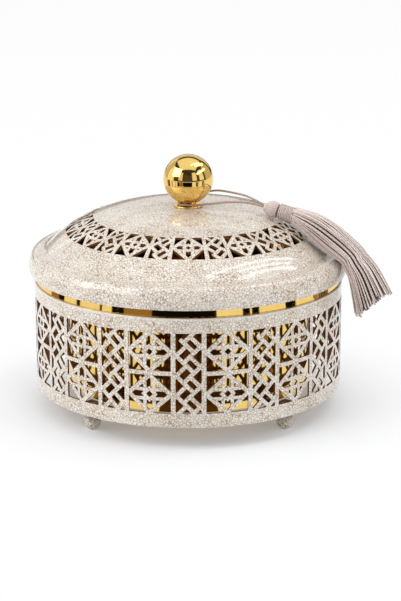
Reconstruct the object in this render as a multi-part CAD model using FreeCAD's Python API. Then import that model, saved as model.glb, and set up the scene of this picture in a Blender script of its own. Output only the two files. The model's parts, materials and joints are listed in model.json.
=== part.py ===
import FreeCAD, Part
import math
import os
from FreeCAD import Vector

# Covered candy bowl: a pierced painted shell on ball feet, a lift-out gold liner,
# a lift-off pierced lid with a ball knob, and a tassel looped round the knob's neck.
# Millimetres, +Z up, origin on the bowl's axis at the table. The front faces -Y.

# Shell and feet
shell_radius = 90.0
shell_wall = 1.2
shell_height = 62.5
shell_edge_round = 0.4
foot_height = 12.5
foot_count = 4
foot_inset = 12.4
foot_ball_radius = 5.0
foot_flat_depth = 0.3
foot_neck_radius = 2.5
foot_first_angle = -135.0
tab_width = 18.0
tab_thickness = 1.0
tab_reach = 8.0
support_ring_width = 8.8
support_ring_thickness = 1.2

# Fasteners
foot_screw_radius = 1.5
foot_screw_depth = 7.0
foot_screw_head_radius = 2.9
foot_screw_head_height = 1.2
stud_radius = 2.4
stud_depth_in_ball = 9.0
stud_tail = 1.5
washer_radius = 6.0
washer_thickness = 1.0
nut_across_flats = 8.0
nut_height = 4.0
thread_clearance = 0.1
hole_clearance = 0.25

# Liner
liner_inset = 19.0
liner_wall = 0.8
liner_screw_clearance = 0.3
collar_inset = 0.8
collar_wall = 1.0
collar_height = 10.7
collar_edge_round = 0.3

# Lid
lid_wall = 1.2
lid_gap = 5.5
lid_rim_overhang = 3.2
lid_rim_bulge = 12.0
lid_rim_widest = 4.2
lid_rim_height = 12.2
lid_shoulder = 4.0
lid_gutter = 2.2
lid_channel = 4.0
lid_rise_share = 0.27444
lid_crown_radius = 1500.0
lid_crown_share = 0.3333
lid_brow_bend = 0.82222
lid_brow_share = 0.3111
seat_thickness = 1.0
seat_lip_depth = 4.0
seat_lip_wall = 1.0
seat_lip_clearance = 0.6
weld_gap = 0.05

# Knob
knob_radius = 14.5
knob_base_radius = 8.75
knob_base_thickness = 1.0
knob_base_round = 0.35
knob_neck_radius = 4.75
knob_neck_height = 1.4
knob_seat_radius = 5.0

# Lattice: flower panels and weave panels take turns round the shell and the lid
period_count = 13
weave_share = 0.39
front_angle = -90.0

shell_band_below = 8.3
shell_band_above = 8.0
shell_upright_bar = 2.6
shell_cross_bar = 2.4
shell_flower = {"diamond_bar": 2.4, "hash_bar": 1.9, "hash_offset": 2.65, "ring_half": 3.3, "ring_bar": 1.85}
shell_weave = {"bar": 2.3, "rows": 4.0, "stub": 2.5}
shell_flower_rows = 2

lid_lattice_inner_share = 0.6167
lid_lattice_share = 0.1767
lid_upright_bar = 2.1
lid_flower = {"diamond_bar": 2.1, "hash_bar": 1.65, "hash_offset": 2.15, "ring_half": 2.55, "ring_bar": 1.45}
lid_weave = {"bar": 1.95, "rows": 1.85, "stub": 2.1}

# Heights of the weave's bars where they cross the panel's middle, as shares of one row
weave_long_rise = 0.79
weave_short_rise = 0.496
weave_long_fall = 0.314
weave_short_fall = 0.917

# Tassel
tassel_angle = -19.0
tassel_clearance = 0.4
tassel_droop = 13.2
cord_diameter = 1.2
cord_spread = 0.75
head_radius = 5.0
head_seat_inset = 40.1
neck_seat_share = 0.8
binding_length = 8.4
binding_turns = 7
binding_gap = 0.08
thread_diameter = 0.5
neck_radius = 3.8
skirt_start_radius = 4.6

cut_margin = 4.0

# Worked-out heights and radii
shell_inner = shell_radius - shell_wall
shell_bottom = foot_height
shell_top = shell_bottom + shell_height
foot_circle_radius = shell_radius - foot_inset
liner_radius = shell_radius - liner_inset
screw_head_top = shell_bottom + tab_thickness + foot_screw_head_height
liner_floor = screw_head_top + liner_screw_clearance
flange_top = shell_top + liner_wall
collar_radius = shell_radius - collar_inset
collar_top = flange_top + collar_height
lid_bottom = shell_top + lid_gap
rim_radius = shell_radius + lid_rim_overhang
rim_mid = lid_bottom + lid_rim_widest
rim_centre = Vector(rim_radius - lid_rim_bulge, 0, rim_mid)
shelf = lid_bottom + lid_rim_height
shoulder_z = shelf - lid_shoulder
shoulder_reach = math.sqrt((lid_rim_bulge - lid_shoulder) ** 2 - (shoulder_z - rim_mid) ** 2)
shoulder_centre = Vector(rim_centre.x + shoulder_reach, 0, shoulder_z)
channel_centre = Vector(shoulder_centre.x - lid_gutter, 0, shelf + lid_channel)
lid_rise = shell_radius * lid_rise_share
apex = shelf + lid_rise
lid_brow_radius = shell_radius * lid_brow_bend
lid_crown_span = shell_radius * lid_crown_share
lid_brow_span = shell_radius * lid_brow_share
lid_lattice_inner = shell_radius * lid_lattice_inner_share
lid_lattice_width = shell_radius * lid_lattice_share
head_seat_radius = shell_radius - head_seat_inset
crown_centre = Vector(0, 0, apex - lid_crown_radius)
period = 360.0 / period_count
weave_angle = period * weave_share
flower_angle = period - weave_angle


def crown_z(radius, wall=0.0):
    return crown_centre.z + math.sqrt((lid_crown_radius - wall) ** 2 - radius ** 2)


# The brow is tangent to the crown, and the flank is the one arc tangent to the brow
# and to the channel at the dome's foot
crown_end = Vector(lid_crown_span, 0, crown_z(lid_crown_span))
crown_inward = (crown_centre - crown_end).normalize()
brow_centre = crown_end + crown_inward * lid_brow_radius
brow_reach = lid_crown_span + lid_brow_span - brow_centre.x
brow_end = Vector(brow_centre.x + brow_reach, 0, brow_centre.z + math.sqrt(lid_brow_radius ** 2 - brow_reach ** 2))
brow_inward = (brow_centre - brow_end).normalize()
channel_to_brow = brow_end - channel_centre
flank_radius = channel_to_brow.dot(channel_to_brow) - lid_channel ** 2
flank_radius /= 2 * (lid_channel - channel_to_brow.dot(brow_inward))
flank_centre = brow_end + brow_inward * flank_radius


def dome_point(radius, height=0.0):
    # Point at a height square off the dome's outer face, over the given radius on it
    centre, bend = flank_centre, flank_radius
    if radius < brow_end.x:
        centre, bend = brow_centre, lid_brow_radius
    if radius < crown_end.x:
        centre, bend = crown_centre, lid_crown_radius
    share = (radius - centre.x) / bend
    return Vector(centre.x + (bend + height) * share, 0, centre.z + (bend + height) * math.sqrt(1 - share ** 2))


knob_base_bottom = crown_z(stud_radius + hole_clearance)
knob_base_top = knob_base_bottom + knob_base_thickness
knob_flat = knob_base_top + knob_neck_height
knob_centre = knob_flat + math.sqrt(knob_radius ** 2 - knob_seat_radius ** 2)


def save(name, *solids):
    shape = solids[0] if len(solids) == 1 else Part.Compound(list(solids))
    shape.exportStep("parts/" + name + ".step")
    print("%-18s solids %2d  volume %10.1f  valid %s" % (name, len(shape.Solids), shape.Volume, shape.isValid()))


def line(a, b):
    return Part.LineSegment(a, b).toShape()


def arc(centre, radius, start, end):
    # Part of a circle in the XZ plane, angles in degrees from +X towards +Z
    middle = (start + end) / 2
    points = [centre + Vector(math.cos(math.radians(t)), 0, math.sin(math.radians(t))) * radius
              for t in (start, middle, end)]
    return Part.Arc(*points).toShape()


def closed_face(points):
    return Part.Face(Part.makePolygon(points + points[:1]))


def turned(points):
    # Solid of revolution of an outline of (radius, height) points
    face = closed_face([Vector(r, 0, z) for r, z in points])
    return face.revolve(Vector(), Vector(0, 0, 1), 360)


def ring(inner, outer, bottom, top):
    return turned([(inner, bottom), (outer, bottom), (outer, top), (inner, top)])


def rod(radius, bottom, top):
    return Part.makeCylinder(radius, top - bottom, Vector(0, 0, bottom))


def turn_about_axis(shape, angle):
    copy = shape.copy()
    copy.rotate(Vector(), Vector(0, 0, 1), angle)
    return copy


def rounded_outline(points, radius):
    # Outline through (radius, height) corners, each corner rounded with a tangent arc
    edges = []
    count = len(points)
    corners = [Vector(r, 0, z) for r, z in points]
    trims = []
    for i in range(count):
        to_last = (corners[i - 1] - corners[i]).normalize()
        to_next = (corners[(i + 1) % count] - corners[i]).normalize()
        half = math.acos(max(-1.0, min(1.0, to_last.dot(to_next)))) / 2
        trim = radius / math.tan(half)
        inside = (to_last + to_next).normalize() * (radius / math.sin(half) - radius)
        trims.append((corners[i] + to_last * trim, corners[i] + inside, corners[i] + to_next * trim))
    for i in range(count):
        edges.append(Part.Arc(*trims[i]).toShape())
        edges.append(line(trims[i][2], trims[(i + 1) % count][0]))
    return Part.Wire(edges)


# Lattice pattern, drawn flat: u runs round the wall, v up it, both from the panel's middle
def bar_face(start, end, width):
    along = (end - start).normalize()
    across = Vector(-along.y, along.x, 0) * (width / 2)
    return closed_face([start + across, end + across, end - across, start - across])


def holes_between(width, height, bars):
    # The panel less its bars leaves the holes, each as its corner points in order
    panel = closed_face([Vector(-width / 2, -height / 2, 0), Vector(width / 2, -height / 2, 0),
                         Vector(width / 2, height / 2, 0), Vector(-width / 2, height / 2, 0)])
    left = panel.cut(bars)
    return [[vertex.Point for vertex in face.OuterWire.OrderedVertexes] for face in left.Faces]


def flower_holes(width, height, sizes):
    # A diamond from side to side holds a hash of four bars and a small diamond ring
    bars = []
    side = Vector(width / 2, 0, 0)
    top = Vector(0, height / 2, 0)
    corners = [side, top, side * -1, top * -1]
    half = sizes["ring_half"]
    ring_corners = [Vector(half, 0, 0), Vector(0, half, 0), Vector(-half, 0, 0), Vector(0, -half, 0)]
    for i in range(4):
        overrun = (corners[i] - corners[i - 1]).normalize() * sizes["diamond_bar"]
        bars.append(bar_face(corners[i - 1] - overrun, corners[i] + overrun, sizes["diamond_bar"]))
        overrun = (ring_corners[i] - ring_corners[i - 1]).normalize() * (sizes["ring_bar"] / 2)
        bars.append(bar_face(ring_corners[i - 1] - overrun, ring_corners[i] + overrun, sizes["ring_bar"]))
    offset = sizes["hash_offset"]
    reach_u = width / 2 * (1 - offset / (height / 2))
    reach_v = height / 2 * (1 - offset / (width / 2))
    for sign in (-1, 1):
        bars.append(bar_face(Vector(sign * offset, -reach_v, 0), Vector(sign * offset, reach_v, 0),
                             sizes["hash_bar"]))
        bars.append(bar_face(Vector(-reach_u, sign * offset, 0), Vector(reach_u, sign * offset, 0),
                             sizes["hash_bar"]))
    return holes_between(width, height, bars)


def weave_holes(width, height, sizes, upside_down=False):
    # Slanting bars that stop on each other: rising bars run v - u = const, falling ones v + u = const
    row = height / sizes["rows"]
    base = -height / 2
    edge = width / 2 + sizes["bar"]

    def crossing(rise, fall):
        return Vector((fall - rise) / 2, (rise + fall) / 2, 0)

    bars = []
    last = int(math.ceil(sizes["rows"])) - 1
    for k in range(-1, last + 1):
        long_rise = base + (k + weave_long_rise) * row
        short_rise = base + (k + weave_short_rise) * row
        long_fall = base + (k + weave_long_fall) * row
        short_fall = base + (k + weave_short_fall) * row
        left = -edge
        if k == last:
            left += sizes["bar"] + sizes["stub"]
        segments = [
            (crossing(long_rise, long_fall), Vector(edge, long_rise + edge, 0)),
            (Vector(left, long_fall - left, 0), crossing(long_rise - row, long_fall)),
            (Vector(-edge, short_rise - edge, 0), crossing(short_rise, long_fall)),
            (crossing(long_rise, short_fall), Vector(edge, short_fall - edge, 0)),
        ]
        bars += [bar_face(a, b, sizes["bar"]) for a, b in segments]
    holes = holes_between(width, height, bars)
    if upside_down:
        holes = [[Vector(p.x, -p.y, 0) for p in hole] for hole in holes]
    return holes


def shell_cutter(hole, panel_angle, middle_z):
    # A hole's prism, pushed out through the wall square to its panel's middle
    outward = Vector(math.cos(math.radians(panel_angle)), math.sin(math.radians(panel_angle)), 0)
    along = Vector(-outward.y, outward.x, 0)
    points = [outward * (shell_inner * math.cos(math.radians(flower_angle)) - cut_margin)
              + along * (shell_radius * math.sin(p.x / shell_radius))
              + Vector(0, 0, middle_z + p.y) for p in hole]
    return closed_face(points).extrude(outward * (shell_radius * 0.5))


def lid_cutter(hole, panel_angle, middle_radius, slope):
    # A hole's prism, pushed straight up through the dome
    points = []
    for p in hole:
        angle = math.radians(panel_angle) + p.x / middle_radius
        radius = middle_radius - p.y * slope
        points.append(Vector(radius * math.cos(angle), radius * math.sin(angle), shelf))
    return closed_face(points).extrude(Vector(0, 0, lid_rise + cut_margin))


def ring_of_sectors(sector, first_angle):
    # One pierced sector, copied round the axis and sewn edge to edge into a single solid
    def on_end(face):
        if not isinstance(face.Surface, Part.Plane):
            return False
        for angle in (first_angle, first_angle + period):
            normal = Vector(-math.sin(math.radians(angle)), math.cos(math.radians(angle)), 0)
            if all(abs(vertex.Point.dot(normal)) < 1e-6 for vertex in face.Vertexes):
                return True
        return False

    skin = [face for face in sector.Faces if not on_end(face)]
    faces = []
    for i in range(period_count):
        faces += [turn_about_axis(face, i * period) for face in skin]
    sewn = Part.Compound(faces)
    sewn.sewShape(1e-5)
    return Part.Solid(sewn.Shells[0])


def pierced(profile, cutters, first_angle):
    face = turn_about_axis(Part.Face(profile), first_angle)
    sector = face.revolve(Vector(), Vector(0, 0, 1), period)
    return ring_of_sectors(sector.cut(cutters), first_angle)


def make_shell():
    lattice_height = shell_height - shell_band_below - shell_band_above
    middle_z = shell_bottom + shell_band_below + lattice_height / 2
    arc_length = math.radians(1.0) * shell_radius
    weave_width = weave_angle * arc_length - shell_upright_bar
    flower_width = flower_angle * arc_length - shell_upright_bar
    square = (lattice_height - shell_cross_bar * (shell_flower_rows - 1)) / shell_flower_rows
    flower_middle = front_angle + period / 2
    cutters = [shell_cutter(hole, front_angle, middle_z)
               for hole in weave_holes(weave_width, lattice_height, shell_weave)]
    for row in range(shell_flower_rows):
        rise = (row - (shell_flower_rows - 1) / 2) * (square + shell_cross_bar)
        cutters += [shell_cutter(hole, flower_middle, middle_z + rise)
                    for hole in flower_holes(flower_width, square, shell_flower)]
    corners = [(shell_inner, shell_bottom), (shell_radius, shell_bottom),
               (shell_radius, shell_top), (shell_inner, shell_top)]
    profile = rounded_outline(corners, min(shell_edge_round, 0.4 * shell_wall))
    return pierced(profile, cutters, front_angle - weave_angle / 2)


def lid_edges(wall):
    # The dome's profile from the knob's hole to the rim's lower edge, set in by wall
    hole = stud_radius + hole_clearance
    crown = lid_crown_radius - wall
    crown_turn = math.degrees(math.asin(crown_end.x / lid_crown_radius))
    brow_turn = math.degrees(math.asin((brow_end.x - brow_centre.x) / lid_brow_radius))
    to_channel = channel_centre - flank_centre
    flank_end = math.degrees(math.atan2(to_channel.x, to_channel.z))
    seam_turn = math.degrees(weld_gap / flank_radius)
    to_shoulder = shoulder_centre - rim_centre
    shoulder_end = math.degrees(math.atan2(to_shoulder.z, to_shoulder.x))
    bulge = lid_rim_bulge - wall
    rim_end = -math.degrees(math.asin(lid_rim_widest / bulge))
    hole_angle = 90 - math.degrees(math.asin(hole / crown))
    return [arc(crown_centre, crown, hole_angle, 90 - crown_turn),
            arc(brow_centre, lid_brow_radius - wall, 90 - crown_turn, 90 - brow_turn),
            arc(flank_centre, flank_radius - wall, 90 - brow_turn, 90 - flank_end + seam_turn),
            arc(channel_centre, lid_channel + wall, 270 - flank_end, 270),
            line(Vector(channel_centre.x, 0, shelf - wall), Vector(shoulder_centre.x, 0, shelf - wall)),
            arc(shoulder_centre, lid_shoulder - wall, 90, shoulder_end),
            arc(rim_centre, bulge, shoulder_end, rim_end)]


def lid_profile(first, last):
    # Closed section between some of the profile's edges and the same edges set in by the wall
    outer = lid_edges(0.0)[first:last]
    inner = lid_edges(lid_wall)[first:last]
    start_edge = line(outer[0].firstVertex().Point, inner[0].firstVertex().Point)
    end_edge = line(outer[-1].lastVertex().Point, inner[-1].lastVertex().Point)
    return Part.Wire(Part.__sortEdges__(outer + [end_edge] + inner + [start_edge]))


def make_lid_rim():
    # The rolled rim, welded to the dome in the gutter
    return Part.Face(lid_profile(3, 7)).revolve(Vector(), Vector(0, 0, 1), 360)


def make_lid():
    profile = lid_profile(0, 3)
    middle_radius = lid_lattice_inner + lid_lattice_width / 2
    lattice_outer = lid_lattice_inner + lid_lattice_width
    height = (dome_point(lattice_outer) - dome_point(lid_lattice_inner)).Length
    slope = lid_lattice_width / height
    arc_length = math.radians(1.0) * middle_radius
    flower_width = flower_angle * arc_length - lid_upright_bar
    weave_width = weave_angle * arc_length - lid_upright_bar
    cutters = [lid_cutter(hole, front_angle, middle_radius, slope)
               for hole in flower_holes(flower_width, height, lid_flower)]
    cutters += [lid_cutter(hole, front_angle + period / 2, middle_radius, slope)
                for hole in weave_holes(weave_width, height, lid_weave, upside_down=True)]
    return pierced(profile, cutters, front_angle - flower_angle / 2)


# Stand: shell, support ring, tabs, feet and their screws
def foot_places():
    for i in range(foot_count):
        angle = foot_first_angle + i * 360.0 / foot_count
        yield angle, Vector(foot_circle_radius * math.cos(math.radians(angle)),
                            foot_circle_radius * math.sin(math.radians(angle)), 0)


def make_foot():
    ball_z = foot_ball_radius - foot_flat_depth
    ball = Part.makeSphere(foot_ball_radius, Vector(0, 0, ball_z))
    foot = ball.fuse(rod(foot_neck_radius, ball_z, foot_height)).removeSplitter()
    bore = rod(foot_screw_radius + thread_clearance, foot_height - foot_screw_depth - thread_clearance, foot_height)
    below = Part.makeBox(4 * foot_ball_radius, 4 * foot_ball_radius, foot_ball_radius,
                         Vector(-2 * foot_ball_radius, -2 * foot_ball_radius, -foot_ball_radius))
    return foot.cut([bore, below])


def make_tab():
    inner = foot_circle_radius - tab_reach
    plate = Part.makeBox(shell_radius - inner, tab_width, tab_thickness,
                         Vector(inner, -tab_width / 2, shell_bottom))
    plate = plate.common(rod(shell_inner, shell_bottom, shell_bottom + tab_thickness))
    hole = rod(foot_screw_radius + hole_clearance, shell_bottom - cut_margin, shell_bottom + cut_margin)
    hole.translate(Vector(foot_circle_radius, 0, 0))
    return plate.cut(hole)


def make_foot_screw():
    seat = shell_bottom + tab_thickness
    shank = rod(foot_screw_radius, foot_height - foot_screw_depth, seat)
    head = rod(foot_screw_head_radius, seat, seat + foot_screw_head_height)
    return shank.fuse(head).removeSplitter()


def make_collar():
    inner = collar_radius - collar_wall
    corners = [(inner, flange_top), (collar_radius, flange_top), (collar_radius, collar_top), (inner, collar_top)]
    outline = rounded_outline(corners, min(collar_edge_round, 0.4 * collar_wall))
    return Part.Face(outline).revolve(Vector(), Vector(0, 0, 1), 360)


def make_seat_ring():
    # Rests on the collar's top edge; its lip hangs just inside the collar and keeps the lid centred
    top = collar_top + seat_thickness
    bulge = lid_rim_bulge - lid_wall
    reach = max(abs(top - rim_mid), abs(collar_top - rim_mid))
    outer = rim_centre.x + math.sqrt(bulge ** 2 - reach ** 2) - weld_gap
    lip = collar_radius - collar_wall - seat_lip_clearance
    return turned([(lip - seat_lip_wall, collar_top - seat_lip_depth), (lip, collar_top - seat_lip_depth),
                   (lip, collar_top), (outer, collar_top), (outer, top), (lip - seat_lip_wall, top)])


# Knob: base disc, neck sleeve, ball, and the stud that clamps them through the dome
def make_knob_base():
    hole = stud_radius + hole_clearance
    corners = [(hole, knob_base_bottom), (knob_base_radius, knob_base_bottom),
               (knob_base_radius, knob_base_top), (hole, knob_base_top)]
    outline = rounded_outline(corners, min(knob_base_round, 0.4 * knob_base_thickness))
    return Part.Face(outline).revolve(Vector(), Vector(0, 0, 1), 360)


def make_knob_ball():
    ball = Part.makeSphere(knob_radius, Vector(0, 0, knob_centre))
    below = rod(2 * knob_radius, knob_flat - 2 * knob_radius, knob_flat)
    bore = rod(stud_radius + thread_clearance, knob_flat - cut_margin, knob_flat + stud_depth_in_ball + thread_clearance)
    return ball.cut([below, bore])


washer_top = crown_z(washer_radius, lid_wall)
nut_top = washer_top - washer_thickness
nut_bottom = nut_top - nut_height


def make_nut():
    corner = nut_across_flats / math.sqrt(3)
    points = [Vector(corner * math.cos(math.radians(60 * i)), corner * math.sin(math.radians(60 * i)), nut_bottom)
              for i in range(6)]
    return closed_face(points).extrude(Vector(0, 0, nut_height)).cut(
        rod(stud_radius + thread_clearance, nut_bottom - cut_margin, nut_top + cut_margin))


# Tassel: it lies down the dome and over the rim in one upright plane through the axis
tassel_plane = Vector(math.cos(math.radians(tassel_angle)), math.sin(math.radians(tassel_angle)), 0)
tassel_side = Vector(-tassel_plane.y, tassel_plane.x, 0)


def on_dome(radius, height):
    point = dome_point(radius, height + tassel_clearance)
    return tassel_plane * point.x + Vector(0, 0, point.z)


def round_rim(angle, height):
    reach = lid_shoulder + tassel_clearance + height
    return (tassel_plane * (shoulder_centre.x + reach * math.sin(math.radians(angle)))
            + Vector(0, 0, shoulder_centre.z + reach * math.cos(math.radians(angle))))


head_centre = on_dome(head_seat_radius, head_radius)
binding_along = tassel_plane * math.cos(math.radians(tassel_droop))
binding_along -= Vector(0, 0, math.sin(math.radians(tassel_droop)))
binding_up = binding_along.cross(tassel_side)
neck_start = head_centre + binding_along * (head_radius * neck_seat_share)
neck_end = neck_start + binding_along * binding_length
cord_entry = head_centre - binding_along * head_radius


def make_tassel_head():
    # The ball is cut flat where the neck starts
    flat = math.degrees(math.asin(neck_seat_share - binding_gap / head_radius))
    return Part.makeSphere(head_radius, head_centre, binding_along, -90, flat, 360)


def biarc(start, start_along, end, end_along):
    # Two arcs that leave start and reach end along the given directions
    gap = end - start
    total = start_along + end_along
    spread = 1 - start_along.dot(end_along)
    reach = (-gap.dot(total) + math.sqrt(gap.dot(total) ** 2 + 2 * spread * gap.dot(gap))) / (2 * spread)
    joint = (start + end + (start_along - end_along) * reach) * 0.5
    return [tangent_arc(start, start_along, joint), tangent_arc(end, end_along * -1, joint)]


def tangent_arc(start, along, end):
    chord = end - start
    across = chord - along * chord.dot(along)
    across.normalize()
    radius = chord.dot(chord) / (2 * chord.dot(across))
    centre = start + across * radius
    middle = centre + ((start - centre) + (end - centre)).normalize() * radius
    return start, middle, end


def make_binding():
    # One thread wound round the tassel's neck, with short straight tails
    coil = neck_radius + thread_diameter * 0.5 + binding_gap
    pitch = (binding_length - 2.4 * thread_diameter) / binding_turns
    first = neck_start + binding_along * (1.2 * thread_diameter)

    def place(turn):
        angle = 2 * math.pi * turn
        point = first + binding_along * (pitch * turn)
        point += tassel_side * (coil * math.cos(angle)) + binding_up * (coil * math.sin(angle))
        along = binding_along * (pitch / (2 * math.pi))
        along += binding_up * (coil * math.cos(angle)) - tassel_side * (coil * math.sin(angle))
        return point, along.normalize()

    quarters = 4 * binding_turns
    start, start_along = place(0)
    edges = [line(start - start_along * thread_diameter, start)]
    for i in range(quarters):
        a, a_along = place(i / 4.0)
        b, b_along = place((i + 1) / 4.0)
        first_arc, second_arc = biarc(a, a_along, b, b_along)
        edges.append(Part.Arc(*first_arc).toShape())
        edges.append(Part.Arc(second_arc[2], second_arc[1], second_arc[0]).toShape())
    end, end_along = place(binding_turns)
    edges.append(line(end, end + end_along * thread_diameter))
    spine = Part.Wire(edges)
    profile = Part.Wire([Part.Circle(start - start_along * thread_diameter, start_along,
                                     thread_diameter / 2).toShape()])
    tube = spine.makePipeShell([profile], True, False)
    points = [place(i / 24.0)[0] for i in range(24 * binding_turns + 1)]
    gaps = [points[i].distanceToPoint(points[j]) for i in range(len(points)) for j in range(i + 12, len(points))]
    print("binding gap to itself %.2f" % (min(gaps) - thread_diameter))
    print("binding volume over section times length %.3f"
          % (tube.Volume / (spine.Length * math.pi * thread_diameter ** 2 / 4)))
    return tube


# The skirt's middle line, with its half thickness off the lid and its half width along the rim
skirt_sections = [
    (neck_end + binding_along * 0.2, skirt_start_radius, skirt_start_radius * 1.05),
    (on_dome(shell_radius - 19.5, 8.5), 7.7, 8.4),
    (on_dome(shell_radius - 10.5, 9.4), 8.2, 9.8),
    (round_rim(44.0, 8.6), 7.8, 10.6),
    (round_rim(76.0, 9.4), 8.2, 11.2),
    (round_rim(104.0, 14.0), 9.8, 12.0),
    (round_rim(130.0, 27.0), 12.2, 13.0),
]


def make_skirt():
    wires = []
    last = len(skirt_sections) - 1
    for i, (middle, thick, wide) in enumerate(skirt_sections):
        before = skirt_sections[max(i - 1, 0)][0]
        after = skirt_sections[min(i + 1, last)][0]
        along = (after - before).normalize() if i else binding_along
        outward = along.cross(tassel_side)
        oval = Part.Ellipse(middle + tassel_side * wide, middle + outward * thick, middle)
        quarter = math.pi / 2
        wires.append(Part.Wire([Part.ArcOfEllipse(oval, q * quarter, (q + 1) * quarter).toShape()
                                for q in range(4)]))
    return Part.makeLoft(wires, True, False)


# The cord: one loop from the head, behind the ball, round the neck and back to the head.
# Points are (x, y, height above the knob's base disc); out to the head, x is a share of the head's distance.
cord_out = [(0.7214, -9.1, 6.4), (0.521, -1.9, 7.3), (0.3106, 5.6, 7.4)]
cord_round_neck = [
    (7.0, 9.4, 3.8), (-0.5, 7.6, 1.05), (-5.8, 5.4, 0.8), (-5.8, -5.8, 0.8), (4.5, -6.8, 0.85)]
cord_back = [(0.2806, -8.6, 2.3), (0.501, -11.1, 3.9), (0.7114, -13.5, 4.0)]


def make_cord():
    inside = binding_along * cord_diameter
    points = [cord_entry + tassel_side * cord_spread + inside]
    points += [Vector(share * head_seat_radius, y, knob_base_top + z) for share, y, z in cord_out]
    points += [Vector(x, y, knob_base_top + z) for x, y, z in cord_round_neck]
    points += [Vector(share * head_seat_radius, y, knob_base_top + z) for share, y, z in cord_back]
    points += [cord_entry - tassel_side * cord_spread + inside]
    edges = []
    radii = []
    here = points[0]
    for i in range(1, len(points) - 1):
        back = points[i - 1] - points[i]
        on = points[i + 1] - points[i]
        shorter = min(back.Length, on.Length)
        half_turn = (math.pi - back.getAngle(on)) / 2
        trim = 0.45 * shorter
        radius = trim / math.tan(half_turn)
        radii.append(radius)
        start = points[i] + back.normalize() * trim
        end = points[i] + on.normalize() * trim
        inward = (back + on).normalize()
        middle = points[i] + inward * (radius / math.cos(half_turn) - radius)
        edges.append(line(here, start))
        edges.append(Part.Arc(start, middle, end).toShape())
        here = end
    edges.append(line(here, points[-1]))
    spine = Part.Wire(edges)
    along = (points[1] - points[0]).normalize()
    profile = Part.Wire([Part.Circle(points[0], along, cord_diameter / 2).toShape()])
    tube = spine.makePipeShell([profile], True, False)
    print("cord length %.1f  radii %s" % (spine.Length, " ".join("%.1f" % r for r in radii)))
    print("cord volume over section times length %.3f"
          % (tube.Volume / (spine.Length * math.pi * cord_diameter ** 2 / 4)))
    return tube


os.makedirs("parts", exist_ok=True)

save("pierced_shell", make_shell())
save("support_ring", ring(shell_inner - support_ring_width, shell_inner,
                          shell_top - support_ring_thickness, shell_top))
foot_names = ("foot_front_left", "foot_front_right", "foot_back_right", "foot_back_left")
tabs = []
screws = []
for name, (angle, place) in zip(foot_names, foot_places()):
    foot = make_foot()
    foot.translate(place)
    save(name, foot)
    tabs.append(turn_about_axis(make_tab(), angle))
    screw = make_foot_screw()
    screw.translate(place)
    screws.append(screw)
save("foot_tabs", *tabs)
save("foot_screws", *screws)

# The liner: a rolled wall with a base disc and a flange ring brazed to it, and the collar on the flange
liner_inner = liner_radius - liner_wall
save("liner_wall", ring(liner_inner, liner_radius, liner_floor, flange_top))
save("liner_base", rod(liner_inner - weld_gap, liner_floor, liner_floor + liner_wall))
save("liner_flange", ring(liner_radius + weld_gap, collar_radius, shell_top, flange_top))
save("liner_collar", make_collar())

save("lid_dome", make_lid())
save("lid_rim", make_lid_rim())
save("lid_seat_ring", make_seat_ring())
save("knob_base", make_knob_base())
save("knob_neck", ring(stud_radius + hole_clearance, knob_neck_radius, knob_base_top, knob_flat))
save("knob_ball", make_knob_ball())
save("knob_stud", rod(stud_radius, nut_bottom - stud_tail, knob_flat + stud_depth_in_ball))
save("knob_washer", ring(stud_radius + hole_clearance, washer_radius, nut_top, washer_top))
save("knob_nut", make_nut())

save("tassel_cord", make_cord())
save("tassel_head", make_tassel_head())
save("tassel_neck", Part.makeCylinder(neck_radius, binding_length, neck_start, binding_along))
save("tassel_binding", make_binding())
save("tassel_skirt", make_skirt())
print("apex %.2f  flank radius %.2f  knob centre %.2f  collar top %.2f" % (apex, flank_radius, knob_centre, collar_top))
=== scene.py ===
import bpy
import json
import math
import random
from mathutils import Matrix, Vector

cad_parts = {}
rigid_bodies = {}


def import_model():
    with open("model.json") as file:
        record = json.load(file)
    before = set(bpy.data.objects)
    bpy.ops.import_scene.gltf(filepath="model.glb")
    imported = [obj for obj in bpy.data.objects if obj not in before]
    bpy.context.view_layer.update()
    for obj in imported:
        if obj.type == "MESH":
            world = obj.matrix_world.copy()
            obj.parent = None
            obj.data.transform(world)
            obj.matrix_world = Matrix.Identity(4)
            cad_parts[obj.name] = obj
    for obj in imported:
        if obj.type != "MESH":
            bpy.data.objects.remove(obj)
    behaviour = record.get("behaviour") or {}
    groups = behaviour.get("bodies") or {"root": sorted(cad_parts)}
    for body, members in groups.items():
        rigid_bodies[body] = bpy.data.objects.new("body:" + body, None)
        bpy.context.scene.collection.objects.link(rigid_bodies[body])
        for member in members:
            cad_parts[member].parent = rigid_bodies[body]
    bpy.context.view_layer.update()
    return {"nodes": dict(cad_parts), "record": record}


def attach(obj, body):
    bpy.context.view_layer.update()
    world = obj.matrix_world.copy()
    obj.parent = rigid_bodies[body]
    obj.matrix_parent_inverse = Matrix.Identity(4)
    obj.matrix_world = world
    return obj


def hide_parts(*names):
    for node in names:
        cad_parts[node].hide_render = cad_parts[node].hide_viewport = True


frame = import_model()
scene = bpy.context.scene
scene.view_settings.view_transform = "Standard"
mm = 0.001
print("frame loaded:", len(frame["nodes"]), "nodes")


def hexToLinear(code):
    # sRGB hex to the linear values that the shader sockets take
    parts = [int(code[i:i + 2], 16) / 255 for i in (1, 3, 5)]
    return [c / 12.92 if c <= 0.04045 else ((c + 0.055) / 1.055) ** 2.4 for c in parts] + [1.0]


def addNode(tree, kind, inputs={}, **settings):
    # one node with its settings; an input is a value or another node's socket
    node = tree.nodes.new(kind)
    for name, value in settings.items():
        setattr(node, name, value)
    for name, value in inputs.items():
        if isinstance(value, bpy.types.NodeSocket):
            tree.links.new(value, node.inputs[name])
        else:
            node.inputs[name].default_value = value
    return node


def newMaterial(name):
    material = bpy.data.materials.new(name)
    material.use_nodes = True
    material.node_tree.nodes.clear()
    return material, material.node_tree


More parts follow.
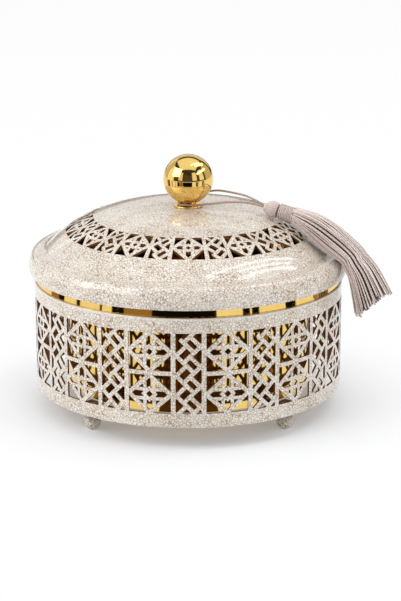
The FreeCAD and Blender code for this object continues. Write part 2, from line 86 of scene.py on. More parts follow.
# camera: where the photograph was taken from, aimed so that no shift is needed
cameraSet = {"place": (0.0, -1.0602, 0.3625), "aim": (0.0071, 0.0, 0.0601), "lens": 111.9}
cameraData = bpy.data.cameras.new("camera")
cameraData.sensor_fit = "VERTICAL"
cameraData.sensor_height = 36.0
cameraData.lens = cameraSet["lens"]
camera = bpy.data.objects.new("camera", cameraData)
scene.collection.objects.link(camera)
camera.location = cameraSet["place"]
camera.rotation_euler = (Vector(cameraSet["aim"]) - camera.location).to_track_quat("-Z", "Y").to_euler()
scene.camera = camera
print("camera set")


# crackle enamel on sheet steel: a pearly cream coat that shrank into small cells,
# so tan lines show between pale glossy islands; drawn a little coarser than real so that it shows
crackle = {"cell": 1.55, "fineCell": 0.9, "mottle": 9.0, "wander": 1.3, "depth": 0.06,   # mm
           "edge": (0.015, 0.14), "fineEdge": (0.01, 0.12), "fineShare": 0.3,   # line widths, in cells
           "patch": (0.35, 0.65), "paleShare": 0.65,   # clouds where the lines fade
           # the brown for faces that turn inward is painted shade
           "cream": "#f2efe9", "pearl": "#e6e0d6", "vein": "#ad8442", "deepVein": "#835a28", "innerShade": "#6e4518",
           "rough": 0.42, "veinRough": 0.6, "coatRough": 0.08,
           "edgeTurn": (0.45, 0.55), "underRim": 1.15}   # how far a face turns inward before it takes the painted shade


def makeCrackleEnamel(name, shadeReach=0.0, core=(0, 0, 0), veinShare=1.0):
    material, tree = newMaterial(name)
    place = addNode(tree, "ShaderNodeTexCoord").outputs["Object"]
    inMm = addNode(tree, "ShaderNodeVectorMath", {0: place, "Scale": 1000.0}, operation="SCALE").outputs[0]
    wander = addNode(tree, "ShaderNodeTexNoise", {"Vector": inMm, "Scale": 0.8, "Detail": 2.0})
    pushed = addNode(tree, "ShaderNodeVectorMath", {0: wander.outputs["Color"], 1: [crackle["wander"]] * 3, 2: inMm},
                     operation="MULTIPLY_ADD").outputs[0]
    cells = addNode(tree, "ShaderNodeTexVoronoi", {"Vector": pushed, "Scale": 1 / crackle["cell"]},
                    feature="DISTANCE_TO_EDGE")
    fineCells = addNode(tree, "ShaderNodeTexVoronoi", {"Vector": pushed, "Scale": 1 / crackle["fineCell"]},
                        feature="DISTANCE_TO_EDGE")
    shade = addNode(tree, "ShaderNodeTexVoronoi", {"Vector": pushed, "Scale": 1 / crackle["cell"]})
    shadeValue = addNode(tree, "ShaderNodeSeparateColor", {0: shade.outputs["Color"]})
    cloud = addNode(tree, "ShaderNodeTexNoise", {"Vector": inMm, "Scale": 1 / crackle["mottle"], "Detail": 3.0})
    line = addNode(tree, "ShaderNodeMapRange", {
        "Value": cells.outputs["Distance"], "From Min": crackle["edge"][0], "From Max": crackle["edge"][1],
        "To Min": 1.0, "To Max": 0.0})
    fineLine = addNode(tree, "ShaderNodeMapRange", {
        "Value": fineCells.outputs["Distance"], "From Min": crackle["fineEdge"][0], "From Max": crackle["fineEdge"][1],
        "To Min": crackle["fineShare"], "To Max": 0.0})
    lines = addNode(tree, "ShaderNodeMath", {0: line.outputs[0], 1: fineLine.outputs[0]}, operation="MAXIMUM")
    patchy = addNode(tree, "ShaderNodeMapRange", {
        "Value": cloud.outputs["Fac"], "From Min": crackle["patch"][0], "From Max": crackle["patch"][1],
        "To Min": crackle["paleShare"] * veinShare, "To Max": veinShare})
    veins = addNode(tree, "ShaderNodeMath", {0: lines.outputs[0], 1: patchy.outputs[0]}, operation="MULTIPLY")
    island = addNode(tree, "ShaderNodeMix", {0: shadeValue.outputs[0], 6: hexToLinear(crackle["cream"]),
                                             7: hexToLinear(crackle["pearl"])}, data_type="RGBA")
    veinColour = addNode(tree, "ShaderNodeMix", {0: cloud.outputs["Fac"], 6: hexToLinear(crackle["vein"]),
                                                 7: hexToLinear(crackle["deepVein"])}, data_type="RGBA")
    colour = addNode(tree, "ShaderNodeMix", {0: veins.outputs[0], 6: island.outputs[2], 7: veinColour.outputs[2]},
                     data_type="RGBA")
    rough = addNode(tree, "ShaderNodeMapRange", {"Value": veins.outputs[0], "To Min": crackle["rough"],
                                                 "To Max": crackle["veinRough"]}).outputs[0]
    coat = 1.0
    if shadeReach:
        # only faces that look away from the core are enamelled; the inside and the cut edges get a dark brown
        # that is painted shade; farther from the axis than the given reach the enamel also goes round the rim's edge
        outward = addNode(tree, "ShaderNodeVectorMath", {0: place, 1: core}, operation="SUBTRACT")
        outward = addNode(tree, "ShaderNodeVectorMath", {0: outward.outputs[0]}, operation="NORMALIZE")
        normal = addNode(tree, "ShaderNodeNewGeometry").outputs["True Normal"]
        facing = addNode(tree, "ShaderNodeVectorMath", {0: outward.outputs[0], 1: normal}, operation="DOT_PRODUCT")
        flat = addNode(tree, "ShaderNodeVectorMath", {0: place, 1: (1, 1, 0)}, operation="MULTIPLY")
        reach = addNode(tree, "ShaderNodeVectorMath", {0: flat.outputs[0]}, operation="LENGTH")
        beyond = addNode(tree, "ShaderNodeMath", {0: reach.outputs["Value"], 1: shadeReach}, operation="GREATER_THAN")
        outer = addNode(tree, "ShaderNodeMath", {
            0: beyond.outputs[0], 1: crackle["underRim"], 2: facing.outputs["Value"]}, operation="MULTIPLY_ADD")
        innerShade = addNode(tree, "ShaderNodeMapRange", {
            "Value": outer.outputs[0], "From Min": crackle["edgeTurn"][0], "From Max": crackle["edgeTurn"][1],
            "To Min": 1.0, "To Max": 0.0})
        colour = addNode(tree, "ShaderNodeMix", {0: innerShade.outputs[0], 6: colour.outputs[2],
                                                 7: hexToLinear(crackle["innerShade"])}, data_type="RGBA")
        coat = addNode(tree, "ShaderNodeMath", {0: 1.0, 1: innerShade.outputs[0]}, operation="SUBTRACT").outputs[0]
    bump = addNode(tree, "ShaderNodeBump", {
        "Height": veins.outputs[0], "Strength": 0.3, "Distance": crackle["depth"] * mm}, invert=True)
    shader = addNode(tree, "ShaderNodeBsdfPrincipled", {
        "Base Color": colour.outputs[2], "Roughness": rough, "Normal": bump.outputs[0],
        "IOR": 1.5, "Coat Weight": coat, "Coat Roughness": crackle["coatRough"], "Coat IOR": 1.55})
    addNode(tree, "ShaderNodeOutputMaterial", {"Surface": shader.outputs[0]})
    return material


# painted shade: dark brown on the parts hidden inside, like the inside of the shell; half glossy, lighter in random
# patches
insideShadeSet = {"thick": "#38210f", "thin": "#553319", "run": 4.0, "depth": 0.1, "rough": 0.35}


def makeInsideShadeBrown():
    material, tree = newMaterial("insideShadeBrown")
    place = addNode(tree, "ShaderNodeTexCoord").outputs["Object"]
    inMm = addNode(tree, "ShaderNodeVectorMath", {0: place, "Scale": 1000.0}, operation="SCALE").outputs[0]
    runs = addNode(tree, "ShaderNodeTexNoise", {"Vector": inMm, "Scale": 1 / insideShadeSet["run"], "Detail": 3.0})
    colour = addNode(tree, "ShaderNodeMix", {0: runs.outputs["Fac"], 6: hexToLinear(insideShadeSet["thick"]),
                                             7: hexToLinear(insideShadeSet["thin"])}, data_type="RGBA")
    bump = addNode(tree, "ShaderNodeBump", {"Height": runs.outputs["Fac"], "Strength": 0.2,
                                            "Distance": insideShadeSet["depth"] * mm})
    shader = addNode(tree, "ShaderNodeBsdfPrincipled", {"Base Color": colour.outputs[2], "Normal": bump.outputs[0],
                                                        "Roughness": insideShadeSet["rough"]})
    addNode(tree, "ShaderNodeOutputMaterial", {"Surface": shader.outputs[0]})
    return material


# gold plate over polished steel: a mirror with a faint ripple from pressing and spinning
gold = {"colour": "#f6d685", "warm": "#ecc268", "rough": 0.04, "hazeRough": 0.04, "ripple": 28.0, "depth": 1.0}


def makeGoldPlate():
    material, tree = newMaterial("polishedGoldPlate")
    place = addNode(tree, "ShaderNodeTexCoord").outputs["Object"]
    inMm = addNode(tree, "ShaderNodeVectorMath", {0: place, "Scale": 1000.0}, operation="SCALE").outputs[0]
    ripple = addNode(tree, "ShaderNodeTexNoise", {"Vector": inMm, "Scale": 1 / gold["ripple"], "Detail": 1.0})
    haze = addNode(tree, "ShaderNodeTexNoise", {"Vector": inMm, "Scale": 0.35, "Detail": 4.0})
    colour = addNode(tree, "ShaderNodeMix", {0: haze.outputs["Fac"], 6: hexToLinear(gold["colour"]),
                                             7: hexToLinear(gold["warm"])}, data_type="RGBA")
    rough = addNode(tree, "ShaderNodeMapRange", {
        "Value": haze.outputs["Fac"], "From Min": 0.35, "From Max": 0.75,
        "To Min": gold["rough"], "To Max": gold["rough"] + gold["hazeRough"]})
    bump = addNode(tree, "ShaderNodeBump", {"Height": ripple.outputs["Fac"], "Strength": 0.06,
                                            "Distance": gold["depth"] * mm})
    shader = addNode(tree, "ShaderNodeBsdfPrincipled", {
        "Base Color": colour.outputs[2], "Metallic": 1.0, "Roughness": rough.outputs[0], "Normal": bump.outputs[0]})
    addNode(tree, "ShaderNodeOutputMaterial", {"Surface": shader.outputs[0]})
    return material


# zinc-plated steel fasteners: bluish grey with fine turned lines
zinc = {"colour": "#a9acb0", "dark": "#7f8388", "line": 0.25, "rough": 0.32}


def makeZincSteel():
    material, tree = newMaterial("zincSteel")
    place = addNode(tree, "ShaderNodeTexCoord").outputs["Object"]
    inMm = addNode(tree, "ShaderNodeVectorMath", {0: place, "Scale": 1000.0}, operation="SCALE").outputs[0]
    turned = addNode(tree, "ShaderNodeTexWave", {"Vector": inMm, "Scale": 0.3 / zinc["line"], "Distortion": 1.5},
                     bands_direction="Z")
    colour = addNode(tree, "ShaderNodeMix", {0: turned.outputs["Fac"], 6: hexToLinear(zinc["colour"]),
                                             7: hexToLinear(zinc["dark"])}, data_type="RGBA")
    shader = addNode(tree, "ShaderNodeBsdfPrincipled", {"Base Color": colour.outputs[2], "Metallic": 1.0,
                                                        "Roughness": zinc["rough"]})
    addNode(tree, "ShaderNodeOutputMaterial", {"Surface": shader.outputs[0]})
    return material


# twisted rayon yarn: silky mauve-beige, with the ply showing as slanting ridges, lighter on top and darker in the
# grooves, partly painted shade
# drawn about four times as coarse as real so that it shows
# the darker pair of colours, for the yarn deep inside the tassel, is painted shade
yarn = {"light": "#faeee7", "shade": "#b8a299", "inShadowLight": "#8d776c", "inShadowDark": "#544137",
        "satinLight": "#f0e1da", "satinShade": "#9a837a", "cordLight": "#c4ab9b", "cordShade": "#8b7162",
        "dye": (0.1, 0.9), "twist": 2.8, "rough": 0.33, "sheen": 0.2, "sheenRough": 0.4}


def makeRayonYarn(name, turnsRound, turnsAlong, depth, light="light", shade="shade", ridgeShadeShare=0.1):
    material, tree = newMaterial(name)
    uv = addNode(tree, "ShaderNodeTexCoord").outputs["UV"]   # u round a strand plus its number, v along it in mm
    axes = addNode(tree, "ShaderNodeSeparateXYZ", {0: uv})
    number = addNode(tree, "ShaderNodeMath", {0: axes.outputs[0]}, operation="FLOOR")
    own = addNode(tree, "ShaderNodeTexWhiteNoise", {"W": number.outputs[0]}, noise_dimensions="1D").outputs["Value"]
    along = addNode(tree, "ShaderNodeMath", {0: axes.outputs[1], 1: 2 * math.pi * turnsAlong, 2: own},
                    operation="MULTIPLY_ADD")
    phase = addNode(tree, "ShaderNodeMath", {0: axes.outputs[0], 1: 2 * math.pi * turnsRound, 2: along.outputs[0]},
                    operation="MULTIPLY_ADD")
    ply = addNode(tree, "ShaderNodeMath", {0: phase.outputs[0]}, operation="SINE")
    ridge = addNode(tree, "ShaderNodeMapRange", {"Value": ply.outputs[0], "From Min": -1.0, "From Max": 1.0})
    # each strand took the dye its own way
    tone = addNode(tree, "ShaderNodeMapRange", {"Value": own, "To Min": yarn["dye"][0] * (1 - ridgeShadeShare),
                                                "To Max": yarn["dye"][1] * (1 - ridgeShadeShare)})
    # lighter on the ridges and darker in the grooves: painted shade
    blend = addNode(tree, "ShaderNodeMath", {0: ridge.outputs[0], 1: ridgeShadeShare, 2: tone.outputs[0]},
                    operation="MULTIPLY_ADD")
    colour = addNode(tree, "ShaderNodeMix", {0: blend.outputs[0], 6: hexToLinear(yarn[shade]),
                                             7: hexToLinear(yarn[light])}, data_type="RGBA")
    bump = addNode(tree, "ShaderNodeBump", {"Height": ridge.outputs[0], "Strength": 0.4, "Distance": depth * mm})
    shader = addNode(tree, "ShaderNodeBsdfPrincipled", {
        "Base Color": colour.outputs[2], "Roughness": yarn["rough"], "Normal": bump.outputs[0],
        "Sheen Weight": yarn["sheen"], "Sheen Roughness": yarn["sheenRough"]})
    addNode(tree, "ShaderNodeOutputMaterial", {"Surface": shader.outputs[0]})
    return material


crackleEnamel = makeCrackleEnamel("crackleEnamel")
lipHighlightEnamel = makeCrackleEnamel("paleLipEnamel", veinShare=0.3)   # thicker on the edge with few cracks, and so paler: partly a painted highlight along the bead
shellEnamel = makeCrackleEnamel("crackleEnamelOnShell", shadeReach=0.2, core=(0, 0, 0.045))
lidEnamel = makeCrackleEnamel("crackleEnamelOnLid", shadeReach=0.0735, core=(0, 0, -100))   # far below, so up is out
goldPlate = makeGoldPlate()
zincSteel = makeZincSteel()
insideShadeBrown = makeInsideShadeBrown()
strandYarn = makeRayonYarn("twistedRayonStrand", 1.0, 1 / yarn["twist"], 0.05)
shadowedYarn = makeRayonYarn("shadedRayonStrand", 1.0, 1 / yarn["twist"], 0.05, "inShadowLight", "inShadowDark")
satinYarn = makeRayonYarn("satinRayonWrap", 22.0, 0.02, 0.1, "satinLight", "satinShade", 0.6)
threadYarn = makeRayonYarn("woundRayonThread", 3.0, 0.02, 0.04, "satinLight", "satinShade", 0.4)
# on a curve u runs along and v round
cordYarn = makeRayonYarn("twistedRayonCord", 50.0, 2.0, 0.2, "cordLight", "cordShade")
finishes = {"cream_crackle_paint": crackleEnamel, "polished_gold": goldPlate,
            "fastener_steel": zincSteel, "tassel_yarn": strandYarn}
ownFinish = {"pierced_shell": shellEnamel, "lid_dome": lidEnamel, "lid_rim": lidEnamel,
             "support_ring": insideShadeBrown, "foot_tabs": insideShadeBrown}
for part in frame["record"]["subparts"]:
    node = bpy.data.objects[part["node"]]
    node.data.materials.clear()
    node.data.materials.append(ownFinish.get(part["node"], finishes[part["material_slot"]]))


def linkMesh(name, points, faces, uvs, material):
    mesh = bpy.data.meshes.new(name)
    mesh.from_pydata(points, [], faces)
    layer = mesh.uv_layers.new(name="uv")
    for loop in mesh.loops:
        layer.data[loop.index].uv = uvs[loop.vertex_index]
    mesh.materials.append(material)
    for polygon in mesh.polygons:
        polygon.use_smooth = True
    piece = bpy.data.objects.new(name, mesh)
    scene.collection.objects.link(piece)
    return piece


def addTube(points, faces, uvs, path, radii, sides, turnStart=0.0, closedEnds=True):
    # a tube along path, its ring frame carried from point to point without twist
    first = len(points)
    count = len(path)
    across = None
    travelled = 0.0
    for i, here in enumerate(path):
        along = (path[min(i + 1, count - 1)] - path[max(i - 1, 0)]).normalized()
        if across is None:
            across = along.orthogonal().normalized()
        across = (across - along * across.dot(along)).normalized()
        over = along.cross(across)
        if i:
            travelled += (here - path[i - 1]).length
        for k in range(sides + 1):
            turn = 2 * math.pi * k / sides
            points.append(here + (across * math.cos(turn) + over * math.sin(turn)) * radii[i])
            uvs.append((turnStart + k / sides, travelled / mm))
    ring = sides + 1
    for i in range(count - 1):
        for k in range(sides):
            a = first + i * ring + k
            faces.append((a, a + 1, a + 1 + ring, a + ring))
    if closedEnds:
        for start, centre, order in ((first, path[0], -1), (first + (count - 1) * ring, path[-1], 1)):
            middle = len(points)
            points.append(centre)
            uvs.append((turnStart, travelled / mm))
            for k in range(sides):
                pair = (start + k, start + k + 1)
                faces.append((middle,) + (pair if order > 0 else pair[::-1]))


# lip: the shell's top edge, rolled to a thin bead that catches the light
lipSet = {"radius": 89.5 * mm, "bead": 0.7 * mm, "height": 74.7 * mm, "steps": 180, "sides": 12}


def makeLip():
    points, faces, uvs = [], [], []
    steps, sides = lipSet["steps"], lipSet["sides"]
    for i in range(steps):
        turn = 2 * math.pi * i / steps
        for k in range(sides):
            roll = 2 * math.pi * k / sides
            r = lipSet["radius"] + lipSet["bead"] * math.cos(roll)
            points.append((r * math.cos(turn), r * math.sin(turn), lipSet["height"] + lipSet["bead"] * math.sin(roll)))
            uvs.append((i / steps, k / sides))
            j, m = (i + 1) % steps, (k + 1) % sides
            faces.append((i * sides + k, j * sides + k, j * sides + m, i * sides + m))
    return linkMesh("shellLip", points, faces, uvs, lipHighlightEnamel)


shellLip = makeLip()
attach(shellLip, "stand")

# tassel: everything lies in one upright plane through the bowl's axis
tassel = {"plane": Vector((0.9455, -0.3256, 0.0)), "side": Vector((0.3256, 0.9455, 0.0)),
          "along": Vector((0.9205, -0.3170, -0.2284)),
          "head": Vector((48.657, -16.754, 119.129)) * mm, "headRadius": 5.0 * mm,
          "neckStart": Vector((52.339, -18.022, 118.215)) * mm, "neckLength": 8.4 * mm}
tassel["up"] = tassel["along"].cross(tassel["side"])

# cord: one loop from the tassel's head, behind the ball, round the neck and back
cord = {"diameter": 1.2 * mm, "route": [
    (45.4, -14.84, 120.0), (36.0, -9.1, 124.8), (26.0, -1.9, 125.7), (15.5, 5.6, 125.8), (7.0, 9.4, 122.2),
    (-0.5, 7.6, 119.45), (-5.8, 5.4, 119.2), (-5.8, -5.8, 119.2), (4.5, -6.8, 119.25), (14.0, -8.6, 120.7),
    (25.0, -11.1, 122.3), (35.5, -13.5, 122.4), (44.91, -16.26, 120.0)]}
cordCurve = bpy.data.curves.new("tasselCord", "CURVE")
cordCurve.dimensions = "3D"
cordCurve.bevel_depth = cord["diameter"] / 2
cordCurve.bevel_resolution = 3
cordCurve.resolution_u = 10
cordCurve.use_fill_caps = True
spline = cordCurve.splines.new("NURBS")
spline.points.add(len(cord["route"]) - 1)
for point, place in zip(spline.points, cord["route"]):
    point.co = (place[0] * mm, place[1] * mm, place[2] * mm, 1.0)
spline.order_u = 3
spline.use_endpoint_u = True
cordCurve.materials.append(cordYarn)
tasselCord = bpy.data.objects.new("tasselCord", cordCurve)
scene.collection.objects.link(tasselCord)
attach(tasselCord, "tassel")
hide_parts("tassel_cord")
print("cord laid")


# head: a wound ball with its threads running from the cord's hole to the binding
headSet = {"threads": 22, "perThread": 6, "ridge": 0.3 * mm, "rows": 36, "hole": 1.0 * mm, "core": 4.15 * mm,
           "closeBy": 0.3 * mm, "closeTo": 0.2 * mm}   # the back end, inside the binding


def makeHead():
    points, faces, uvs = [], [], []
    radius = tassel["headRadius"]
    start = math.asin(headSet["hole"] / radius)
    end = math.pi - math.asin(headSet["core"] / radius)
    outline = []
    for i in range(headSet["rows"] + 1):
        tilt = start + (end - start) * i / headSet["rows"]
        outline.append((-radius * math.cos(tilt), radius * math.sin(tilt), headSet["ridge"] * math.sin(tilt)))
    outline.append((outline[-1][0] + headSet["closeBy"], headSet["closeTo"], 0.0))
    count = headSet["threads"] * headSet["perThread"]
    for along, r, ridge in outline:
        for k in range(count + 1):
            turn = 2 * math.pi * k / count
            out = tassel["side"] * math.cos(turn) + tassel["up"] * math.sin(turn)
            deep = ridge * (0.5 - 0.5 * math.cos(turn * headSet["threads"]))
            points.append(tassel["head"] + tassel["along"] * along + out * (r - deep))
            uvs.append((k / count, along / mm))
    for i in range(len(outline) - 1):
        for k in range(count):
            a = i * (count + 1) + k
            faces.append((a, a + 1, a + count + 2, a + count + 1))
    return linkMesh("tasselHead", points, faces, uvs, satinYarn)


tasselHead = makeHead()
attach(tasselHead, "tassel")
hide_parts("tassel_head")

# rings: one round the cord's hole, and a dark ring where the binding ends, a painted shadow in the gap there
ringSet = {"capRadius": 1.9 * mm, "capThick": 0.7 * mm, "capSeat": 0.94, "shadowRingRadius": 4.55 * mm, "shadowRingThick": 0.4 * mm,
           "steps": 48, "sides": 10}


def makeRing(name, centre, radius, thick, material):
    points, faces, uvs = [], [], []
    path = []
    for k in range(ringSet["steps"] + 1):
        turn = 2 * math.pi * k / ringSet["steps"]
        path.append(centre + (tassel["side"] * math.cos(turn) + tassel["up"] * math.sin(turn)) * radius)
    addTube(points, faces, uvs, path, [thick] * len(path), ringSet["sides"], closedEnds=False)
    ring = linkMesh(name, points, faces, uvs, material)
    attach(ring, "tassel")


makeRing("tasselCapRing", tassel["head"] - tassel["along"] * (tassel["headRadius"] * ringSet["capSeat"]),
         ringSet["capRadius"], ringSet["capThick"], strandYarn)
makeRing("tasselShadowRing", tassel["neckStart"] + tassel["along"] * (tassel["neckLength"] + ringSet["shadowRingThick"]),
         ringSet["shadowRingRadius"], ringSet["shadowRingThick"], shadowedYarn)

# binding: one thread wound round the neck, over a core in the darker yarn that shows between the turns as painted
# shade
bindingSet = {"turns": 9, "thread": 0.84 * mm, "steps": 36, "sides": 8, "outer": 4.75 * mm,
              "core": 4.2 * mm, "coreSteps": 8, "coreSides": 48, "tuck": 0.4 * mm}


def makeBinding():
    points, faces, uvs = [], [], []
    pitch = tassel["neckLength"] / bindingSet["turns"]
    coil = bindingSet["outer"] - bindingSet["thread"] / 2
    path = []
    for i in range(bindingSet["turns"] * bindingSet["steps"] + 1):
        turn = i / bindingSet["steps"]
        angle = 2 * math.pi * turn
        path.append(tassel["neckStart"] + tassel["along"] * (pitch * turn)
                    + (tassel["side"] * math.cos(angle) + tassel["up"] * math.sin(angle)) * coil)
    addTube(points, faces, uvs, path, [bindingSet["thread"] / 2] * len(path), bindingSet["sides"])
    return linkMesh("tasselBinding", points, faces, uvs, threadYarn)


def makeNeck():
    points, faces, uvs = [], [], []
    path = []
    for k in range(bindingSet["coreSteps"] + 2):
        path.append(tassel["neckStart"] + tassel["along"] * (
            tassel["neckLength"] * k / bindingSet["coreSteps"] - bindingSet["tuck"]))
    addTube(points, faces, uvs, path, [bindingSet["core"]] * len(path), bindingSet["coreSides"])
    return linkMesh("tasselNeck", points, faces, uvs, shadowedYarn)


tasselNeck = makeNeck()
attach(tasselNeck, "tassel")
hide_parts("tassel_neck")
tasselBinding = makeBinding()
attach(tasselBinding, "tassel")
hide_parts("tassel_binding")

# skirt: cut strands that lie down the dome, roll over the rim and hang free, drawn together in loose locks
skirt = {"seed": 7, "strand": 0.46 * mm, "steps": 36, "sides": 8,
         "outer": [(50, 0.95)], "inner": [(36, 0.84), (26, 0.64), (14, 0.4)],   # strands, share of the reach
         "locks": 9, "pull": 0.55, "jitter": 0.25, "sway": 0.06, "ripple": 0.025, "swell": 0.03, "least": 0.88,
         "loose": 0.2, "looseSway": (-0.55, 0.5),   # a few strands lie across the others
         "trim": 2.6, "slant": 4.5,   # mm cut off the ends, more on the outer side
         "sections": [  # distance from the axis, height, half thickness off the lid, half width along the rim
             (62.2, 116.6, 3.6, 3.6), (64.3, 116.1, 5.1, 5.2), (67.0, 115.4, 5.6, 5.7), (75.6, 111.6, 7.6, 7.8),
             (86.3, 104.8, 8.5, 8.9), (96.9, 97.2, 7.2, 9.4), (101.0, 91.6, 7.6, 9.8), (105.6, 84.0, 9.2, 10.6),
             (111.9, 67.6, 12.4, 11.6)]}


def smoothAlong(values, t):
    # Catmull-Rom through the listed values, t from 0 to 1
    last = len(values) - 1
    at = min(max(t, 0.0), 1.0) * last
    i = min(int(at), last - 1)
    f = at - i
    a, b, c, d = (values[min(max(j, 0), last)] for j in (i - 1, i, i + 1, i + 2))
    return b + (c - a) * (0.5 * f) + (a * 2 - b * 5 + c * 4 - d) * (0.5 * f * f) + (b * 3 - a - c * 3 + d) * (
        0.5 * f * f * f)


def makeSkirt(name, layers, material):
    random.seed(skirt["seed"])
    middles = [(tassel["plane"] * s[0] + Vector((0, 0, s[1]))) * mm for s in skirt["sections"]]
    thicks = [s[2] * mm for s in skirt["sections"]]
    wides = [s[3] * mm for s in skirt["sections"]]
    spine = []
    for i in range(skirt["steps"] + 1):
        t = i / skirt["steps"]
        along = (smoothAlong(middles, t + 0.02) - smoothAlong(middles, t - 0.02)).normalized()
        spine.append((t, smoothAlong(middles, t), along, along.cross(tassel["side"]), smoothAlong(thicks, t),
                      smoothAlong(wides, t)))
    points, faces, uvs = [], [], []
    count = 0
    for number, share in layers:
        lockTurn = random.uniform(0, 6.28)
        for k in range(number):
            angle = 2 * math.pi * (k + random.uniform(-skirt["jitter"], skirt["jitter"])) / number
            pull = skirt["pull"] * math.sin(skirt["locks"] * angle + lockTurn) / skirt["locks"]
            loose = share > 0.9 and random.random() < skirt["loose"]
            stray = random.choice(skirt["looseSway"]) if loose else random.uniform(-skirt["sway"], skirt["sway"])
            reach = 1.0 if loose else share * random.uniform(skirt["least"], 1.0)
            trim = (random.uniform(0.0, skirt["trim"]) + skirt["slant"] * share * math.sin(angle)) * mm
            wave = random.uniform(0, 6.28)
            path, radii = [], []
            for t, middle, along, out, thick, wide in spine:
                swing = angle + (pull + stray) * t * t * (3 - 2 * t) + skirt["ripple"] * math.sin(wave + 7 * t) * t
                size = min(1.0, reach * (1 + skirt["swell"] * math.sin(wave * 1.7 + 9 * t)))
                path.append(middle + out * (math.sin(swing) * size * thick)
                            + tassel["side"] * (math.cos(swing) * size * wide) - along * (trim * t * t * t))
                radii.append(skirt["strand"] * (0.7 + 0.3 * min(1.0, 2.5 * t)))   # pressed thin at the binding
            addTube(points, faces, uvs, path, radii, skirt["sides"], turnStart=count)
            count += 1
    return linkMesh(name, points, faces, uvs, material)


# the inner layers use the darker yarn: painted shade inside the skirt
tasselCore = makeSkirt("tasselCore", skirt["inner"], shadowedYarn)
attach(tasselCore, "tassel")
tasselSkirt = makeSkirt("tasselSkirt", skirt["outer"], strandYarn)
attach(tasselSkirt, "tassel")
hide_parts("tassel_skirt")
print("tassel made,", len(tasselSkirt.data.polygons), "faces in the skirt")


def paleRays(tree):
    # 1 for the rays that show the pale background: camera, glossy and transmission
    rays = addNode(tree, "ShaderNodeLightPath").outputs
    seen = addNode(tree, "ShaderNodeMath", {0: rays["Is Camera Ray"], 1: rays["Is Glossy Ray"]}, operation="MAXIMUM")
    seen = addNode(tree, "ShaderNodeMath", {0: seen.outputs[0], 1: rays["Is Transmission Ray"]}, operation="MAXIMUM")
    return seen.outputs[0]


# floor: white paper sweep, shown white to the camera and in the gold, with the shadow kept
floorSet = {"size": 6.0, "paper": "#f1f3f6", "nearWhite": 0.22, "farWhite": 0.97, "near": 0.07, "far": 0.17}


def makeFloor():
    material, tree = newMaterial("whitePaper")
    place = addNode(tree, "ShaderNodeTexCoord").outputs["Object"]
    away = addNode(tree, "ShaderNodeVectorMath", {0: place}, operation="LENGTH")
    white = addNode(tree, "ShaderNodeMapRange", {"Value": away.outputs["Value"], "From Min": floorSet["near"],
                                                 "From Max": floorSet["far"], "To Min": floorSet["nearWhite"],
                                                 "To Max": floorSet["farWhite"]}, interpolation_type="SMOOTHSTEP")
    share = addNode(tree, "ShaderNodeMath", {0: paleRays(tree), 1: white.outputs[0]}, operation="MULTIPLY")
    paper = addNode(tree, "ShaderNodeBsdfDiffuse", {"Color": hexToLinear(floorSet["paper"])})
    glow = addNode(tree, "ShaderNodeEmission", {"Color": (1, 1, 1, 1), "Strength": 1.0})
    both = addNode(tree, "ShaderNodeMixShader", {0: share.outputs[0], 1: paper.outputs[0], 2: glow.outputs[0]})
    addNode(tree, "ShaderNodeOutputMaterial", {"Surface": both.outputs[0]})
    half = floorSet["size"] / 2
    mesh = bpy.data.meshes.new("floor")
    mesh.from_pydata([(-half, -half, 0), (half, -half, 0), (half, half, 0), (-half, half, 0)], [], [(0, 1, 2, 3)])
    mesh.materials.append(material)
    floor = bpy.data.objects.new("floor", mesh)
    scene.collection.objects.link(floor)
    return floor


makeFloor()

# felt cards lying round the bowl, seen only in its polished faces: they give the gold its dark bands
cards = {"black": "#0d0b09", "umber": "#4a2f12", "brown": "#8a6f4c", "grey": "#78726a",
         "inner": 0.1, "middle": 0.31, "outer": 1.6, "height": 1.0 * mm, "steps": 8,
         "wall": 2.6, "ceiling": 2.4, "wallSides": 32,
         "near": [(-19.0, 19.0, "umber"), (62.0, 70.0, "brown"), (-70.0, -62.0, "brown")],   # seen in the liner
         "bands": [  # seen in the collar: azimuth from the camera side (degrees, right is +), felt
             (-23.4, 17.9, "black"), (35.2, 40.3, "black"), (41.6, 46.7, "black"), (67.1, 76.0, "black"),
             (-42.3, -23.4, "brown"), (-51.1, -42.3, "black"), (-60.2, -58.5, "black"), (-80.4, -77.0, "black"),
             (-99.5, -93.0, "black"), (-110.0, -99.5, "brown")]}


def makeFelt(name, code):
    material, tree = newMaterial(name)
    shader = addNode(tree, "ShaderNodeBsdfDiffuse", {"Color": hexToLinear(code)})
    addNode(tree, "ShaderNodeOutputMaterial", {"Surface": shader.outputs[0]})
    return material


felts = {dye: makeFelt(dye + "Felt", cards[dye]) for dye in ("black", "umber", "brown", "grey")}


def addCard(name, points, faces, felt):
    mesh = bpy.data.meshes.new(name)
    mesh.from_pydata(points, [], faces)
    mesh.materials.append(felts[felt])
    card = bpy.data.objects.new(name, mesh)
    card.visible_camera = card.visible_diffuse = card.visible_shadow = card.visible_transmission = False
    scene.collection.objects.link(card)


for i, (start, end, felt) in enumerate(cards["near"] + cards["bands"]):
    isNear = i < len(cards["near"])
    span = (cards["inner"], cards["middle"]) if isNear else (cards["middle"], cards["outer"])
    points = []
    for k in range(cards["steps"] + 1):
        turn = math.radians(start + (end - start) * k / cards["steps"] - 90)
        points += [(r * math.cos(turn), r * math.sin(turn), cards["height"]) for r in span]
    faces = [(2 * k, 2 * k + 1, 2 * k + 3, 2 * k + 2) for k in range(cards["steps"])]
    addCard("card%d" % i, points, faces, felt)
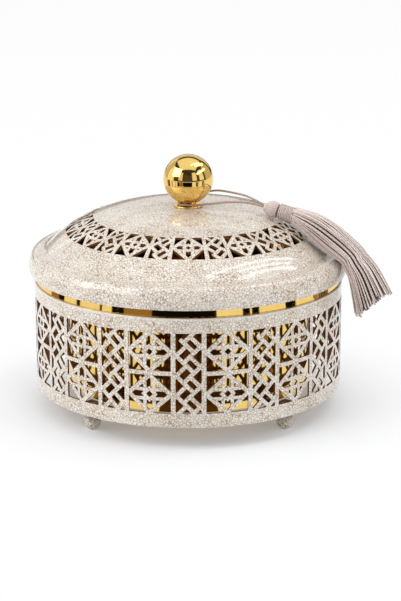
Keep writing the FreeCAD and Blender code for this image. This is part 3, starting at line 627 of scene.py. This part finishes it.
# grey felt hung round and above, seen only in polished faces: a painted reflection of the dark room behind the lamps
sides = cards["wallSides"]
turns = [2 * math.pi * k / sides for k in range(sides)]
points = [(cards["wall"] * math.cos(turn), cards["wall"] * math.sin(turn), z)
          for z in (0.0, cards["ceiling"]) for turn in turns]
faces = [(k, (k + 1) % sides, (k + 1) % sides + sides, k + sides) for k in range(sides)]
faces.append(tuple(range(sides, 2 * sides)))
addCard("feltRoom", points, faces, "grey")


def aroundBowl(azimuth, distance, height):
    # azimuth in degrees from the camera side, right is +
    turn = math.radians(azimuth - 90)
    return (distance * math.cos(turn), distance * math.sin(turn), height)


# light: upright boxes all round, soft fills, a large window box on the left and ceiling tubes on the right
lightSet = {
    "room": 0.10, "distance": 1.5,
    "boxes": [  # azimuth, width, height, middle height, glow
        (30, 0.55, 1.1, 0.75, 0.9), (66, 0.62, 1.3, 0.8, 0.9), (112, 1.3, 1.5, 0.8, 0.5), (-37, 0.50, 1.1, 0.75, 0.8),
        (-90, 1.0, 1.5, 0.8, 1.0), (-128, 1.2, 1.5, 0.8, 0.6), (180, 2.0, 1.2, 0.9, 0.7)],
    "panels": [  # name, place, aim, width, height, glow, seen in polished faces, turn
        ("topbox", (0, 0, 1.7), (0, 0, 0), 2.2, 2.2, 0.92, True, 0),
        ("topFill", (0, 0, 1.7), (0, 0, 0), 2.2, 2.2, 0.36, False, 0),
        ("rightFill", aroundBowl(36, 1.5, 1.1), (0, 0, 0.08), 1.5, 1.5, 0.5, False, 0),
        ("frontFill", aroundBowl(5, 1.7, 0.9), (0, 0, 0.05), 1.5, 1.0, 0.5, False, 0),
        ("windowLeft", aroundBowl(-65, 1.1, 0.82), (0, 0, 0.13), 0.9, 0.8, 3.7, True, 12),
        ("rightBar", (1.21, -0.30, 0.93), (0, 0, 0.13), 1.5, 0.2, 3.2, True, 0)],
    "tubes": [(0.91, 0.40, 2.0), (1.07, 0.39, 1.3), (1.17, 0.30, 1.6), (1.28, 0.21, 1.2)],   # x, y, length
    "tubeHeight": 1.6, "tubeWidth": 0.055, "tubeGlow": 7.0, "tubeTurn": 48.6}


def addSoftbox(name, place, aim, width, height, glow, mirrored=True, turn=0.0):
    data = bpy.data.lights.new(name, "AREA")
    data.shape = "RECTANGLE"
    data.size = width
    data.size_y = height
    data.energy = glow * math.pi * width * height   # glow is the box's brightness as the gold sees it
    lamp = bpy.data.objects.new(name, data)
    lamp.location = place
    lamp.rotation_euler = (Vector(aim) - Vector(place)).to_track_quat("-Z", "Y").to_euler()
    lamp.rotation_euler.rotate_axis("Z", math.radians(turn))
    lamp.visible_camera = False
    lamp.visible_glossy = mirrored
    scene.collection.objects.link(lamp)


for i, (azimuth, width, height, middle, glow) in enumerate(lightSet["boxes"]):
    addSoftbox("softbox%d" % i, aroundBowl(azimuth, lightSet["distance"], middle), (0, 0, middle), width, height, glow)
for panel in lightSet["panels"]:
    addSoftbox(*panel)
for i, (x, y, length) in enumerate(lightSet["tubes"]):
    addSoftbox("tube%d" % i, (x, y, lightSet["tubeHeight"]), (x, y, 0), length, lightSet["tubeWidth"],
               lightSet["tubeGlow"], turn=lightSet["tubeTurn"])

# world: a pale background, also in metal and glass; the object gets only the weak room light from it
room = bpy.data.worlds.new("room")
room.use_nodes = True
tree = room.node_tree
strength = addNode(tree, "ShaderNodeMapRange", {"Value": paleRays(tree), "To Min": lightSet["room"], "To Max": 1.0})
background = tree.nodes["Background"]
background.inputs["Color"].default_value = (1, 1, 1, 1)
tree.links.new(strength.outputs[0], background.inputs["Strength"])
scene.world = room
print("lights set")
